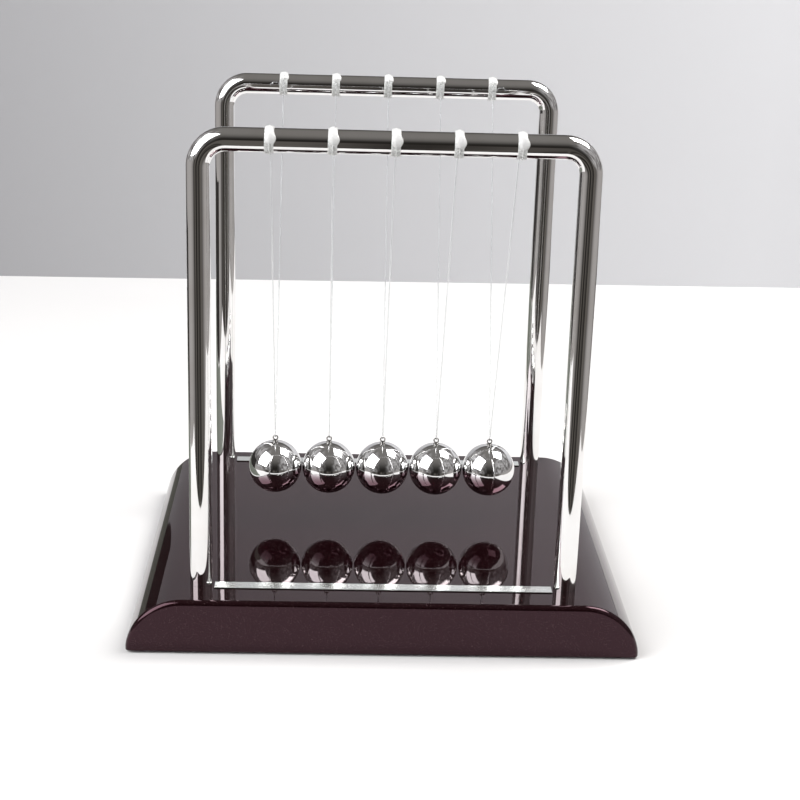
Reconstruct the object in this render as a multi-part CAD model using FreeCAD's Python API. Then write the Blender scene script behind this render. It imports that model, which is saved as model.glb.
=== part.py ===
import FreeCAD, Part
import math
import os

V = FreeCAD.Vector

# ---------------------------------------------------------------------------
# Driving sizes, millimetres. X runs along the row of balls, Y to the rear,
# Z up from the table. The middle of the base is at X = Y = 0.
# ---------------------------------------------------------------------------
OVERALL_HEIGHT = 182.0       # top of the bars above the table
BASE_DEPTH = 150.0           # base along Y
BASE_HEIGHT = 20.0           # top of the base above the table
BALL_DIA = 20.3
BALL_COUNT = 5
BALL_FLOAT = 10.5            # underside of a ball above the top of the base
ROD_DIA = 8.0                # bent frame rod
BEND_RADIUS = 9.0            # centre-line radius of the two bends of a frame
LINE_DIA = 0.45              # nylon line
ROW_MARGIN = 23.3            # centre of an end ball to the middle of a leg, along X
SIDE_MARGIN = 25.5           # middle of a leg to the end of the base, along X
FRONT_MARGIN = 16.0          # front legs to the front of the base, along Y
REAR_MARGIN = 8.0            # rear legs to the rear of the base, along Y

# Base shell and bottom plate
WALL = 2.6                   # shell wall
SIDE_RUN = 20.0              # run of a curved side along X
LIP = 1.5                    # short upright lip below each curved side
EDGE_ROUND = 1.8             # rounding round the two end faces
FOOT_GAP = 1.0               # shell rim above the table
RIB_T = 1.6                  # ribs between the sockets
POST_WALL = 2.2              # wall of a screw post
PLATE_T = 2.4                # bottom plate
PLATE_INSET = 0.4            # plate above the rim
PLATE_FIT = 0.30             # bottom plate to shell wall
PLATE_CORNER = 2.0           # corner radius of the plate
SCREW_FROM_END = 12.0        # plate screws to the end of the base, along X
SCREW_FROM_EDGE = 25.0       # plate screws to the front and rear of the base
FOOT_IN_X = 8.0              # foot pads nearer the middle than the screws, along X
FOOT_OUT_Y = 12.0            # foot pads further out than the screws, along Y
FOOT_DIA = 12.0
FOOT_BEVEL = 0.4

# Legs in their sockets
LEG_FIT = 0.05               # radial clearance, leg in its socket
LEG_BEVEL = 0.5
SOCKET_FLOOR = 2.5
SOCKET_WALL = 3.0
HEAD_ROOM = 0.8              # leg screw heads above the bottom plate
LEG_SCREW_DIA = 3.9
LEG_SCREW_DEPTH = 8.0        # screw inside the leg
LEG_SCREW_FIT = 0.25         # radial clearance, screw in the socket floor
TAP_EXTRA = 1.5              # hole in the leg beyond the screw
LEG_HEAD_DIA = 7.6
LEG_HEAD_H = 2.6
LEG_HEAD_ROUND = 0.9
LEG_SLOT = (4.4, 0.9, 1.3)   # cross recess: length, width, depth
WASHER_DIA = 10.0
WASHER_T = 0.8
WASHER_FIT = 0.10

# Bottom plate screws
PLATE_SCREW_DIA = 2.4
PLATE_SCREW_LEN = 9.0
PLATE_SCREW_FIT = 0.15       # radial clearance, screw in the plate
PLATE_HEAD_DIA = 5.2
PLATE_TIP_LEN = 1.5
PLATE_TIP_R = 0.3
PLATE_SLOT = (3.0, 0.6, 0.7)

# Bright strips let into the top of the base
STRIP_W = 5.0                # inlay strip along Y
STRIP_AHEAD = 2.3            # middle of the strip in front of its frame's middle
STRIP_T = 1.0
STRIP_PROUD = 0.4            # strip face above the top of the base
STRIP_FIT = 0.05             # inlay strip to groove wall
STRIP_BEVEL = 0.15
GROOVE_LAND = 0.6            # plastic left between a groove and a leg bore
GROOVE_BACK = 1.5            # thickened ceiling on each side of a groove
GROOVE_PAD = 1.4             # thickening under a groove

# Windings, hanging lines and eyes
BALL_GAP = 0.30              # air between two balls hanging still
LINE_CLEAR = 0.03            # moving line to the turn it leaves
TOUCH = 0.01                 # line pressed on what it lies on
TURN_COUNT = 7               # turns of line side by side in one winding
TURN_GAP = 0.05
VALLEY = 0.18                # groove between two turns
GLUE_COAT = 0.055            # clear glue round the last turn
GLUED_SWEEP = 290.0          # degrees of the last turn on the bar
EYE_RING_R = 0.85            # ring eye, centre-line radius
EYE_WIRE_DIA = 0.55
RING_SUNK = 0.1              # ring wire sunk into the collar
EYE_STUD_DIA = 1.2
EYE_STUD_IN = 2.5            # stud inside the ball
EYE_COLLAR_DIA = 2.2
EYE_COLLAR_H = 0.5
COLLAR_ROUND = 0.25
TAIL_RADIUS = 1.6            # curled tail of line on the rear bar

# Modelling allowances
TINY = 0.01                  # reading tolerance when picking edges
SINK = 0.5                   # ribs and posts run this far into the ceiling
OVERCUT = 1.0                # cutters run this far past a face

# Derived sizes and positions
ROD_R = ROD_DIA / 2.0
LINE_R = LINE_DIA / 2.0
BALL_R = BALL_DIA / 2.0
PITCH = BALL_DIA + BALL_GAP
BALL_X = [(i - (BALL_COUNT - 1) / 2.0) * PITCH for i in range(BALL_COUNT)]
LEG_X = BALL_X[-1] + ROW_MARGIN
BASE_LENGTH = 2.0 * (LEG_X + SIDE_MARGIN)
FRONT_Y = FRONT_MARGIN - BASE_DEPTH / 2.0
REAR_Y = BASE_DEPTH / 2.0 - REAR_MARGIN
MID_Y = (FRONT_Y + REAR_Y) / 2.0
HALF_SPAN = (REAR_Y - FRONT_Y) / 2.0
BAR_Z = OVERALL_HEIGHT - ROD_R
RIM_Z = FOOT_GAP
PLATE_Z = RIM_Z + PLATE_INSET
PLATE_TOP = PLATE_Z + PLATE_T
SOCKET_Z = PLATE_TOP + HEAD_ROOM + LEG_HEAD_H + WASHER_T
LEG_END_Z = SOCKET_Z + SOCKET_FLOOR
CEILING_Z = BASE_HEIGHT - WALL
SIDE_H = BASE_HEIGHT - RIM_Z - LIP
SIDE_R = (SIDE_RUN ** 2 + SIDE_H ** 2) / (2.0 * SIDE_H)
SIDE_CX = BASE_LENGTH / 2.0 - SIDE_RUN
SIDE_CZ = BASE_HEIGHT - SIDE_R
GROOVE_X = LEG_X - ROD_R - LEG_FIT - GROOVE_LAND
STRIP_Z = BASE_HEIGHT + STRIP_PROUD
STRIP_SPOTS = (FRONT_Y - STRIP_AHEAD, REAR_Y - STRIP_AHEAD)
BALL_Z = BASE_HEIGHT + BALL_FLOAT + BALL_R
COLLAR_R = EYE_COLLAR_DIA / 2.0
SPOT_Z = BALL_Z + math.sqrt(BALL_R ** 2 - COLLAR_R ** 2)
RING_Z = SPOT_Z + EYE_COLLAR_H + EYE_WIRE_DIA / 2.0 + EYE_RING_R - RING_SUNK
WRAP_Z = RING_Z + EYE_RING_R
TURN_PITCH = LINE_DIA + TURN_GAP
HALF_WINDING = TURN_COUNT * TURN_PITCH / 2.0
WINDING_R = ROD_R + LINE_DIA
LEAVE_R = WINDING_R + LINE_R + LINE_CLEAR
WRAP_R = EYE_WIRE_DIA / 2.0 + LINE_R - TOUCH
GLUED_TURN_R = LINE_R + GLUE_COAT
LEG_SPOTS = [(-LEG_X, FRONT_Y), (LEG_X, FRONT_Y), (-LEG_X, REAR_Y), (LEG_X, REAR_Y)]
SCREW_X = BASE_LENGTH / 2.0 - SCREW_FROM_END
SCREW_Y = BASE_DEPTH / 2.0 - SCREW_FROM_EDGE
SCREW_SPOTS = [(x, y) for y in (-SCREW_Y, SCREW_Y) for x in (-SCREW_X, 0.0, SCREW_X)]
FOOT_X = SCREW_X - FOOT_IN_X
FOOT_Y = SCREW_Y + FOOT_OUT_Y
FOOT_SPOTS = [(-FOOT_X, -FOOT_Y), (FOOT_X, -FOOT_Y), (-FOOT_X, FOOT_Y), (FOOT_X, FOOT_Y)]


def solve_leave_angle():
    """Angle of the hanging run from upright: common tangent of bar turn and ring wire."""
    fall = BAR_Z - WRAP_Z
    reach = math.hypot(HALF_SPAN, fall)
    return math.acos((LEAVE_R + WRAP_R) / reach) - math.atan2(fall, HALF_SPAN)


LEAVE = solve_leave_angle()


def box(x0, x1, y0, y1, z0, z1):
    return Part.makeBox(x1 - x0, y1 - y0, z1 - z0, V(x0, y0, z0))


def rod_up(x, y, z0, z1, radius):
    return Part.makeCylinder(radius, z1 - z0, V(x, y, z0), V(0, 0, 1))


def cone_up(x, y, z0, z1, low_radius, high_radius):
    return Part.makeCone(low_radius, high_radius, z1 - z0, V(x, y, z0), V(0, 0, 1))


def disc(radius, centre, normal):
    return Part.Face(Part.Wire(Part.makeCircle(radius, centre, normal)))


def merged(pieces):
    solid = pieces[0]
    if len(pieces) > 1:
        solid = solid.multiFuse(pieces[1:])
    solid = solid.removeSplitter()
    if solid.ShapeType == "Compound" and len(solid.Solids) == 1:
        solid = solid.Solids[0]
    return solid


def cross_recess(x, y, z, sizes):
    """Two bars that cut a cross into a screw head whose face is at z."""
    length, width, depth = sizes
    along = box(x - length / 2.0, x + length / 2.0, y - width / 2.0, y + width / 2.0, z - OVERCUT, z + depth)
    across = box(x - width / 2.0, x + width / 2.0, y - length / 2.0, y + length / 2.0, z - OVERCUT, z + depth)
    return along.fuse(across)


def side_profile(inset):
    """Closed outline in XZ of the base above its rim, moved inwards by inset."""
    radius = SIDE_R - inset
    top = BASE_HEIGHT - inset
    z_start = RIM_Z + LIP
    x_start = SIDE_CX + math.sqrt(radius ** 2 - (z_start - SIDE_CZ) ** 2)
    a_start = math.atan2(z_start - SIDE_CZ, x_start - SIDE_CX)
    a_mid = (a_start + math.pi / 2.0) / 2.0
    x_mid = SIDE_CX + radius * math.cos(a_mid)
    z_mid = SIDE_CZ + radius * math.sin(a_mid)
    edges = [
        Part.LineSegment(V(-x_start, 0, RIM_Z), V(x_start, 0, RIM_Z)).toShape(),
        Part.LineSegment(V(x_start, 0, RIM_Z), V(x_start, 0, z_start)).toShape(),
        Part.Arc(V(x_start, 0, z_start), V(x_mid, 0, z_mid), V(SIDE_CX, 0, top)).toShape(),
        Part.LineSegment(V(SIDE_CX, 0, top), V(-SIDE_CX, 0, top)).toShape(),
        Part.Arc(V(-SIDE_CX, 0, top), V(-x_mid, 0, z_mid), V(-x_start, 0, z_start)).toShape(),
        Part.LineSegment(V(-x_start, 0, z_start), V(-x_start, 0, RIM_Z)).toShape(),
    ]
    return Part.Face(Part.Wire(edges))


def slab(inset):
    """The base as a solid block, each of its faces but the lowest moved inwards by inset."""
    y_out = BASE_DEPTH / 2.0 - inset
    face = side_profile(inset)
    face.translate(V(0, -y_out, 0))
    return face.extrude(V(0, 2.0 * y_out, 0))


def outer_body():
    body = slab(0.0)
    rounded = []
    for edge in body.Edges:
        limits = edge.BoundBox
        if limits.YLength < TINY and limits.ZMax > RIM_Z + TINY:
            rounded.append(edge)
    return body.makeFillet(EDGE_ROUND, rounded)


def inner_features():
    """Sockets, screw posts, ribs and thickened ceiling inside the shell."""
    into = CEILING_Z + SINK
    half = RIB_T / 2.0
    pad = STRIP_W / 2.0 + GROOVE_BACK
    adds = []
    for x, y in LEG_SPOTS:
        adds.append(rod_up(x, y, SOCKET_Z, into, ROD_R + LEG_FIT + SOCKET_WALL))
    for x, y in SCREW_SPOTS:
        adds.append(rod_up(x, y, PLATE_TOP, into, PLATE_SCREW_DIA / 2.0 + POST_WALL))
    for x in (-LEG_X, LEG_X):
        adds.append(box(x - half, x + half, FRONT_Y, REAR_Y, SOCKET_Z, into))
    for y in (FRONT_Y, MID_Y, REAR_Y):
        adds.append(box(-LEG_X, LEG_X, y - half, y + half, SOCKET_Z, into))
    for y in STRIP_SPOTS:
        adds.append(box(-LEG_X, LEG_X, y - pad, y + pad, CEILING_Z - GROOVE_PAD, into))
    return merged(adds)


def base_shell():
    outer = outer_body()
    shell = outer.cut(slab(WALL)).fuse(inner_features().common(outer))
    groove = STRIP_W / 2.0 + STRIP_FIT
    over = BASE_HEIGHT + OVERCUT
    cuts = []
    for x, y in LEG_SPOTS:
        cuts.append(rod_up(x, y, LEG_END_Z, over, ROD_R + LEG_FIT))
        cuts.append(rod_up(x, y, SOCKET_Z - OVERCUT, LEG_END_Z + TINY, LEG_SCREW_DIA / 2.0 + LEG_SCREW_FIT))
    bore_top = PLATE_Z + PLATE_SCREW_LEN + OVERCUT
    for x, y in SCREW_SPOTS:
        cuts.append(rod_up(x, y, PLATE_TOP - OVERCUT, bore_top, PLATE_SCREW_DIA / 2.0))
    for y in STRIP_SPOTS:
        cuts.append(box(-GROOVE_X, GROOVE_X, y - groove, y + groove, STRIP_Z - STRIP_T, over))
    for cut in cuts:
        shell = shell.cut(cut)
    return merged([shell])


def bottom_plate():
    inner_r = SIDE_R - WALL
    x_wall = SIDE_CX + math.sqrt(inner_r ** 2 - (PLATE_TOP - SIDE_CZ) ** 2)
    x_out = x_wall - PLATE_FIT
    y_out = BASE_DEPTH / 2.0 - WALL - PLATE_FIT
    plate = box(-x_out, x_out, -y_out, y_out, PLATE_Z, PLATE_TOP)
    upright = [e for e in plate.Edges if e.BoundBox.ZLength > PLATE_T - TINY]
    plate = plate.makeFillet(PLATE_CORNER, upright)
    sink = (PLATE_HEAD_DIA - PLATE_SCREW_DIA) / 2.0
    for x, y in SCREW_SPOTS:
        bore_r = PLATE_SCREW_DIA / 2.0 + PLATE_SCREW_FIT
        plate = plate.cut(rod_up(x, y, PLATE_Z - OVERCUT, PLATE_TOP + OVERCUT, bore_r))
        plate = plate.cut(cone_up(x, y, PLATE_Z, PLATE_Z + sink, PLATE_HEAD_DIA / 2.0, PLATE_SCREW_DIA / 2.0))
    return plate


def plate_screws():
    shank_r = PLATE_SCREW_DIA / 2.0
    sink = PLATE_HEAD_DIA / 2.0 - shank_r
    z_tip = PLATE_Z + PLATE_SCREW_LEN - PLATE_TIP_LEN
    solids = []
    for x, y in SCREW_SPOTS:
        head = cone_up(x, y, PLATE_Z, PLATE_Z + sink, PLATE_HEAD_DIA / 2.0, shank_r)
        shank = rod_up(x, y, PLATE_Z + sink - TINY, z_tip, shank_r)
        tip = cone_up(x, y, z_tip, z_tip + PLATE_TIP_LEN, shank_r, PLATE_TIP_R)
        screw = merged([head, shank, tip])
        solids.append(screw.cut(cross_recess(x, y, PLATE_Z, PLATE_SLOT)))
    return Part.makeCompound(solids)


def foot_pad(x, y):
    pad = rod_up(x, y, 0.0, PLATE_Z, FOOT_DIA / 2.0)
    low = [e for e in pad.Edges if e.BoundBox.ZMax < TINY]
    return pad.makeChamfer(FOOT_BEVEL, low)


def frame(y):
    """One rod bent twice: two legs and the bar between them."""
    bend_x = LEG_X - BEND_RADIUS
    bend_z = BAR_Z - BEND_RADIUS
    pieces = []
    for sign in (-1.0, 1.0):
        pieces.append(rod_up(sign * LEG_X, y, LEG_END_Z, bend_z, ROD_R))
        section = disc(ROD_R, V(sign * LEG_X, y, bend_z), V(0, 0, 1))
        pieces.append(section.revolve(V(sign * bend_x, y, bend_z), V(0, -sign, 0), 90.0))
    pieces.append(Part.makeCylinder(ROD_R, 2.0 * bend_x, V(-bend_x, y, BAR_Z), V(1, 0, 0)))
    rod = merged(pieces)
    ends = [e for e in rod.Edges if e.BoundBox.ZMax < LEG_END_Z + TINY]
    rod = rod.makeChamfer(LEG_BEVEL, ends)
    hole_top = LEG_END_Z + LEG_SCREW_DEPTH + TAP_EXTRA
    for sign in (-1.0, 1.0):
        rod = rod.cut(rod_up(sign * LEG_X, y, LEG_END_Z - OVERCUT, hole_top, LEG_SCREW_DIA / 2.0))
    return rod


def leg_washers():
    solids = []
    z_low = SOCKET_Z - WASHER_T
    for x, y in LEG_SPOTS:
        ring = rod_up(x, y, z_low, SOCKET_Z, WASHER_DIA / 2.0)
        bore = rod_up(x, y, z_low - OVERCUT, SOCKET_Z + OVERCUT, LEG_SCREW_DIA / 2.0 + WASHER_FIT)
        solids.append(ring.cut(bore))
    return Part.makeCompound(solids)


def leg_screws():
    solids = []
    z_head = SOCKET_Z - WASHER_T
    z_low = z_head - LEG_HEAD_H
    for x, y in LEG_SPOTS:
        head = rod_up(x, y, z_low, z_head, LEG_HEAD_DIA / 2.0)
        low = [e for e in head.Edges if e.BoundBox.ZMax < z_low + TINY]
        head = head.makeFillet(LEG_HEAD_ROUND, low)
        shank = rod_up(x, y, z_head - TINY, LEG_END_Z + LEG_SCREW_DEPTH, LEG_SCREW_DIA / 2.0)
        screw = merged([head, shank])
        solids.append(screw.cut(cross_recess(x, y, z_low, LEG_SLOT)))
    return Part.makeCompound(solids)


def inlay_strip(y):
    x_out = GROOVE_X - STRIP_FIT
    strip = box(-x_out, x_out, y - STRIP_W / 2.0, y + STRIP_W / 2.0, STRIP_Z - STRIP_T, STRIP_Z)
    top = [e for e in strip.Edges if e.BoundBox.ZMin > STRIP_Z - TINY]
    return strip.makeChamfer(STRIP_BEVEL, top)


def winding(x, y, inward):
    """Turns of line on a bar. inward is +1 on the front bar and -1 on the rear bar."""
    low_r = WINDING_R - VALLEY
    edges = []
    for i in range(TURN_COUNT):
        a = i * TURN_PITCH - HALF_WINDING
        b = a + TURN_PITCH
        crown = Part.Arc(V(a, 0, low_r), V((a + b) / 2.0, 0, WINDING_R), V(b, 0, low_r))
        edges.append(crown.toShape())
    edges.append(Part.LineSegment(V(HALF_WINDING, 0, low_r), V(HALF_WINDING, 0, ROD_R)).toShape())
    edges.append(Part.LineSegment(V(HALF_WINDING, 0, ROD_R), V(-HALF_WINDING, 0, ROD_R)).toShape())
    edges.append(Part.LineSegment(V(-HALF_WINDING, 0, ROD_R), V(-HALF_WINDING, 0, low_r)).toShape())
    sleeve = Part.Face(Part.Wire(edges)).revolve(V(0, 0, 0), V(1, 0, 0), 360.0)
    # The last turn, glued, starts just above the point where the line leaves.
    gap = (LINE_R + LINE_CLEAR) / LEAVE_R
    start = math.degrees(math.pi / 2.0 - LEAVE - gap)
    section = disc(GLUED_TURN_R, V(0, 0, LEAVE_R), V(0, 1, 0))
    section.rotate(V(0, 0, 0), V(1, 0, 0), -inward * start)
    turn = section.revolve(V(0, 0, 0), V(1, 0, 0), inward * GLUED_SWEEP)
    body = merged([sleeve, turn])
    body.translate(V(x, y, BAR_Z))
    return body


def hanging_line(x):
    """One line: down from the front bar, under the ring of the eye, up to the rear bar."""
    c = math.cos(LEAVE)
    s = math.sin(LEAVE)
    top_out = HALF_SPAN - LEAVE_R * c
    top_z = BAR_Z + LEAVE_R * s
    low_out = WRAP_R * c
    low_z = WRAP_Z - WRAP_R * s
    pieces = []
    for side in (-1.0, 1.0):
        top = V(x, MID_Y + side * top_out, top_z)
        low = V(x, MID_Y + side * low_out, low_z)
        run = low.sub(top)
        pieces.append(Part.makeCylinder(LINE_R, run.Length, top, run))
        pieces.append(Part.makeSphere(LINE_R, top))
    section = disc(LINE_R, V(x, MID_Y - low_out, low_z), V(0, top_out - low_out, low_z - top_z))
    pieces.append(section.revolve(V(x, MID_Y, WRAP_Z), V(1, 0, 0), 180.0 - 2.0 * math.degrees(LEAVE)))
    return merged(pieces)


def ring_eye(x):
    ring = Part.makeTorus(EYE_RING_R, EYE_WIRE_DIA / 2.0, V(x, MID_Y, RING_Z), V(0, 1, 0))
    stud = rod_up(x, MID_Y, SPOT_Z - EYE_STUD_IN, RING_Z - EYE_RING_R, EYE_STUD_DIA / 2.0)
    collar_top = SPOT_Z + EYE_COLLAR_H
    collar = rod_up(x, MID_Y, SPOT_Z, collar_top, COLLAR_R)
    rim = [e for e in collar.Edges if e.BoundBox.ZMin > collar_top - TINY]
    collar = collar.makeFillet(COLLAR_ROUND, rim)
    return merged([stud, collar, ring])


def ball(x):
    """A ball with a small flat and a bore for its eye."""
    solid = Part.makeSphere(BALL_R, V(x, MID_Y, BALL_Z))
    solid = solid.cut(box(x - BALL_R, x + BALL_R, MID_Y - BALL_R, MID_Y + BALL_R, SPOT_Z, BALL_Z + BALL_DIA))
    return solid.cut(rod_up(x, MID_Y, SPOT_Z - EYE_STUD_IN, SPOT_Z + OVERCUT, EYE_STUD_DIA / 2.0))


def line_tail(side):
    """Short curled end of line beside an outer winding, on the inner face of the rear bar."""
    x_face = side * (BALL_X[-1] + HALF_WINDING)
    x_mid = x_face + side * TAIL_RADIUS
    y = REAR_Y - ROD_R - LINE_R + TOUCH
    section = disc(LINE_R, V(x_face, y, BAR_Z), V(0, 0, 1))
    curl = section.revolve(V(x_mid, y, BAR_Z), V(0, side, 0), 180.0)
    winding_end = Part.makeCylinder(WINDING_R, OVERCUT, V(x_face, REAR_Y, BAR_Z), V(-side, 0, 0))
    return curl.cut(winding_end)


def export(shape, name):
    shape.exportStep("parts/" + name + ".step")


def main():
    os.makedirs("parts", exist_ok=True)
    export(base_shell(), "base_shell")
    export(bottom_plate(), "bottom_plate")
    export(plate_screws(), "plate_screws")
    for i, (x, y) in enumerate(FOOT_SPOTS):
        export(foot_pad(x, y), "foot_pad_%d" % (i + 1))
    export(frame(FRONT_Y), "front_frame")
    export(frame(REAR_Y), "rear_frame")
    export(leg_washers(), "leg_washers")
    export(leg_screws(), "leg_screws")
    export(inlay_strip(STRIP_SPOTS[0]), "front_strip")
    export(inlay_strip(STRIP_SPOTS[1]), "rear_strip")
    for i, x in enumerate(BALL_X):
        number = i + 1
        export(winding(x, FRONT_Y, 1.0), "front_winding_%d" % number)
        export(winding(x, REAR_Y, -1.0), "rear_winding_%d" % number)
        export(hanging_line(x), "line_%d" % number)
        export(ring_eye(x), "eye_%d" % number)
        export(ball(x), "ball_%d" % number)
    export(line_tail(-1.0), "rear_tail_left")
    export(line_tail(1.0), "rear_tail_right")


main()
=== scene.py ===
import logging
import math
from dataclasses import dataclass
from enum import Enum

import bmesh
import bpy
from mathutils import Matrix, Vector


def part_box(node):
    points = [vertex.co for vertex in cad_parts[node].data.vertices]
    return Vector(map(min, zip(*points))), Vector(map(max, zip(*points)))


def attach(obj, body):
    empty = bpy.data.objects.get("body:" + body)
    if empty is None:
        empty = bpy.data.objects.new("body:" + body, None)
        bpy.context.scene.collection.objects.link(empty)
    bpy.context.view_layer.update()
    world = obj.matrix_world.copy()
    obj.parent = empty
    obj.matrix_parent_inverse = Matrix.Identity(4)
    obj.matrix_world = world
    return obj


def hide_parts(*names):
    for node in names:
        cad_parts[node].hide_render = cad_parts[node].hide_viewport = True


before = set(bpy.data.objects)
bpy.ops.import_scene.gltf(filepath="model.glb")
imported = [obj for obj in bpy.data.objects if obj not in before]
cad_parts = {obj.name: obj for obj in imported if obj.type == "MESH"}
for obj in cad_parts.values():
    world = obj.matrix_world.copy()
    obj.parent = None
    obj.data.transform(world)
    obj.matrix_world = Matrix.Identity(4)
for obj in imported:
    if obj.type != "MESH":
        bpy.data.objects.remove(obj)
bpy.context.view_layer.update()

LOG = logging.getLogger("cradle")
MM = 0.001
PER_MM = 1000.0
SHARP_ANGLE = math.radians(32.0)

Point = tuple[float, float, float]
Colour = tuple[float, float, float]
Profile = list[tuple[float, float]]


# --------------------------------------------------------------------------- places


@dataclass(frozen=True)
class Layout:
    """Places and sizes read off the CAD nodes, in metres."""

    leg_x: float
    leg_end_z: float
    front_y: float
    rear_y: float
    mid_y: float
    bar_z: float
    rod_radius: float
    base_low: Vector
    base_high: Vector
    ball_x: tuple[float, ...]
    ball_z: float
    ball_radius: float

    @classmethod
    def read(cls) -> "Layout":
        """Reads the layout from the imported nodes.

        Returns:
            The layout of the whole cradle.
        """
        front_low, front_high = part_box("front_frame")
        rear_low, rear_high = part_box("rear_frame")
        base_low, base_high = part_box("base_shell")
        ball_boxes = [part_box(f"ball_{number}") for number in range(1, 6)]
        rod_radius = round((front_high.y - front_low.y) / 2.0, 4)
        ball_radius = round((ball_boxes[0][1].x - ball_boxes[0][0].x) / 2.0, 5)
        front_y = round((front_low.y + front_high.y) / 2.0, 5)
        rear_y = round((rear_low.y + rear_high.y) / 2.0, 5)
        return cls(
            leg_x=front_high.x - rod_radius,
            leg_end_z=front_low.z,
            front_y=front_y,
            rear_y=rear_y,
            mid_y=(front_y + rear_y) / 2.0,
            bar_z=front_high.z - rod_radius,
            rod_radius=rod_radius,
            base_low=base_low,
            base_high=base_high,
            ball_x=tuple(round((low.x + high.x) / 2.0, 5) for low, high in ball_boxes),
            ball_z=ball_boxes[0][0].z + ball_radius,
            ball_radius=ball_radius,
        )


# --------------------------------------------------------------------------- meshes


def link_object(name: str, mesh: bpy.types.Mesh) -> bpy.types.Object:
    """Puts a mesh in the scene as an object at the origin.

    Args:
        name: Name of the piece.
        mesh: Its mesh, already in place.

    Returns:
        The new object.
    """
    mesh.name = name
    piece = bpy.data.objects.new(name, mesh)
    bpy.context.scene.collection.objects.link(piece)
    return piece


def mesh_from(form: bmesh.types.BMesh, name: str) -> bpy.types.Mesh:
    """Turns a bmesh into a mesh with its faces pointing outwards.

    Args:
        form: The geometry, freed afterwards.
        name: Name of the mesh.

    Returns:
        The finished mesh.
    """
    bmesh.ops.remove_doubles(form, verts=form.verts, dist=1e-7)
    bmesh.ops.recalc_face_normals(form, faces=form.faces)
    mesh = bpy.data.meshes.new(name)
    form.to_mesh(mesh)
    form.free()
    return mesh


def smooth(mesh: bpy.types.Mesh, angle: float = SHARP_ANGLE) -> bpy.types.Mesh:
    """Shades a mesh smooth except across edges sharper than an angle.

    Args:
        mesh: The mesh to shade.
        angle: Edges that turn further than this stay sharp, in radians.

    Returns:
        The same mesh.
    """
    mesh.shade_smooth()
    mesh.set_sharp_from_angle(angle=angle)
    return mesh


def lathe(form: bmesh.types.BMesh, profile: Profile, centre: Vector, sides: int) -> None:
    """Adds a closed turned shape about an upright axis.

    Args:
        form: The bmesh to add to.
        profile: Radius and height of each ring, from the lowest point on the axis to the highest.
        centre: Where the axis stands, and the height that the profile counts from.
        sides: Faces round the axis.
    """
    rings = []
    for radius, height in profile:
        if radius <= 0.0:
            rings.append([form.verts.new(centre + Vector((0.0, 0.0, height)))])
            continue
        ring = []
        for step in range(sides):
            turn = math.tau * step / sides
            ring.append(form.verts.new(centre + Vector((radius * math.cos(turn), radius * math.sin(turn),
                                                        height))))
        rings.append(ring)
    for low, high in zip(rings, rings[1:]):
        for step in range(sides):
            after = (step + 1) % sides
            if len(low) == 1 and len(high) == 1:
                continue
            if len(low) == 1:
                form.faces.new((low[0], high[after], high[step]))
            elif len(high) == 1:
                form.faces.new((low[step], low[after], high[0]))
            else:
                form.faces.new((low[step], low[after], high[after], high[step]))


def loft(form: bmesh.types.BMesh, rings: list[list[Vector]]) -> None:
    """Adds a closed skin over a row of rings, with a flat face on each end.

    Args:
        form: The bmesh to add to.
        rings: Outlines with the same number of points, from one end to the other.
    """
    rows = [[form.verts.new(point) for point in ring] for ring in rings]
    count = len(rows[0])
    for near, far in zip(rows, rows[1:]):
        for step in range(count):
            after = (step + 1) % count
            form.faces.new((near[step], near[after], far[after], far[step]))
    form.faces.new(list(reversed(rows[0])))
    form.faces.new(rows[-1])


def tube(form: bmesh.types.BMesh, path: list[Vector], radius: float, sides: int, across: Vector) -> None:
    """Adds a round tube with domed ends along a path that lies in one plane.

    Args:
        form: The bmesh to add to.
        path: Points of the middle line.
        radius: Radius of the tube.
        sides: Faces round the tube.
        across: The direction square to the path's plane.
    """
    dome = 4
    rings = []
    last = len(path) - 1
    for index, point in enumerate(path):
        along = (path[min(index + 1, last)] - path[max(index - 1, 0)]).normalized()
        out = along.cross(across).normalized()
        steps = [(radius, 0.0)]
        if index == 0:
            turns = [math.pi / 2 * k / dome for k in range(1, dome + 1)]
            steps = [(radius * math.sin(a), -radius * math.cos(a)) for a in turns]
        if index == last:
            turns = [math.pi / 2 * k / dome for k in range(dome)]
            steps = [(radius * math.cos(a), radius * math.sin(a)) for a in turns]
        for size, shift in steps:
            ring = []
            for step in range(sides):
                turn = math.tau * step / sides
                ring.append(point + along * shift + (out * math.cos(turn) + across * math.sin(turn)) * size)
            rings.append(ring)
    loft(form, rings)


def cut(mesh: bpy.types.Mesh, cutters: list[bpy.types.Mesh], operation: str = "DIFFERENCE") -> bpy.types.Mesh:
    """Cuts closed shapes out of a closed mesh, or joins them to it.

    Args:
        mesh: The mesh to work on.
        cutters: Closed meshes.
        operation: DIFFERENCE or UNION.

    Returns:
        A new mesh.
    """
    body = link_object("work", mesh)
    helpers = [link_object("cutter", cutter) for cutter in cutters]
    for helper in helpers:
        modifier = body.modifiers.new("cut", "BOOLEAN")
        modifier.operation = operation
        modifier.solver = "EXACT"
        modifier.object = helper
    depsgraph = bpy.context.evaluated_depsgraph_get()
    result = bpy.data.meshes.new_from_object(body.evaluated_get(depsgraph), depsgraph=depsgraph)
    for leftover in (body, *helpers):
        bpy.data.objects.remove(leftover)
    return result


def block(low: Point, high: Point) -> bpy.types.Mesh:
    """A rectangular cutter between two corners.

    Args:
        low: Lowest corner.
        high: Highest corner.

    Returns:
        Its mesh.
    """
    form = bmesh.new()
    outline = [(low[0], low[1]), (high[0], low[1]), (high[0], high[1]), (low[0], high[1])]
    loft(form, [[Vector((x, y, z)) for x, y in outline] for z in (low[2], high[2])])
    return mesh_from(form, "block")


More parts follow.
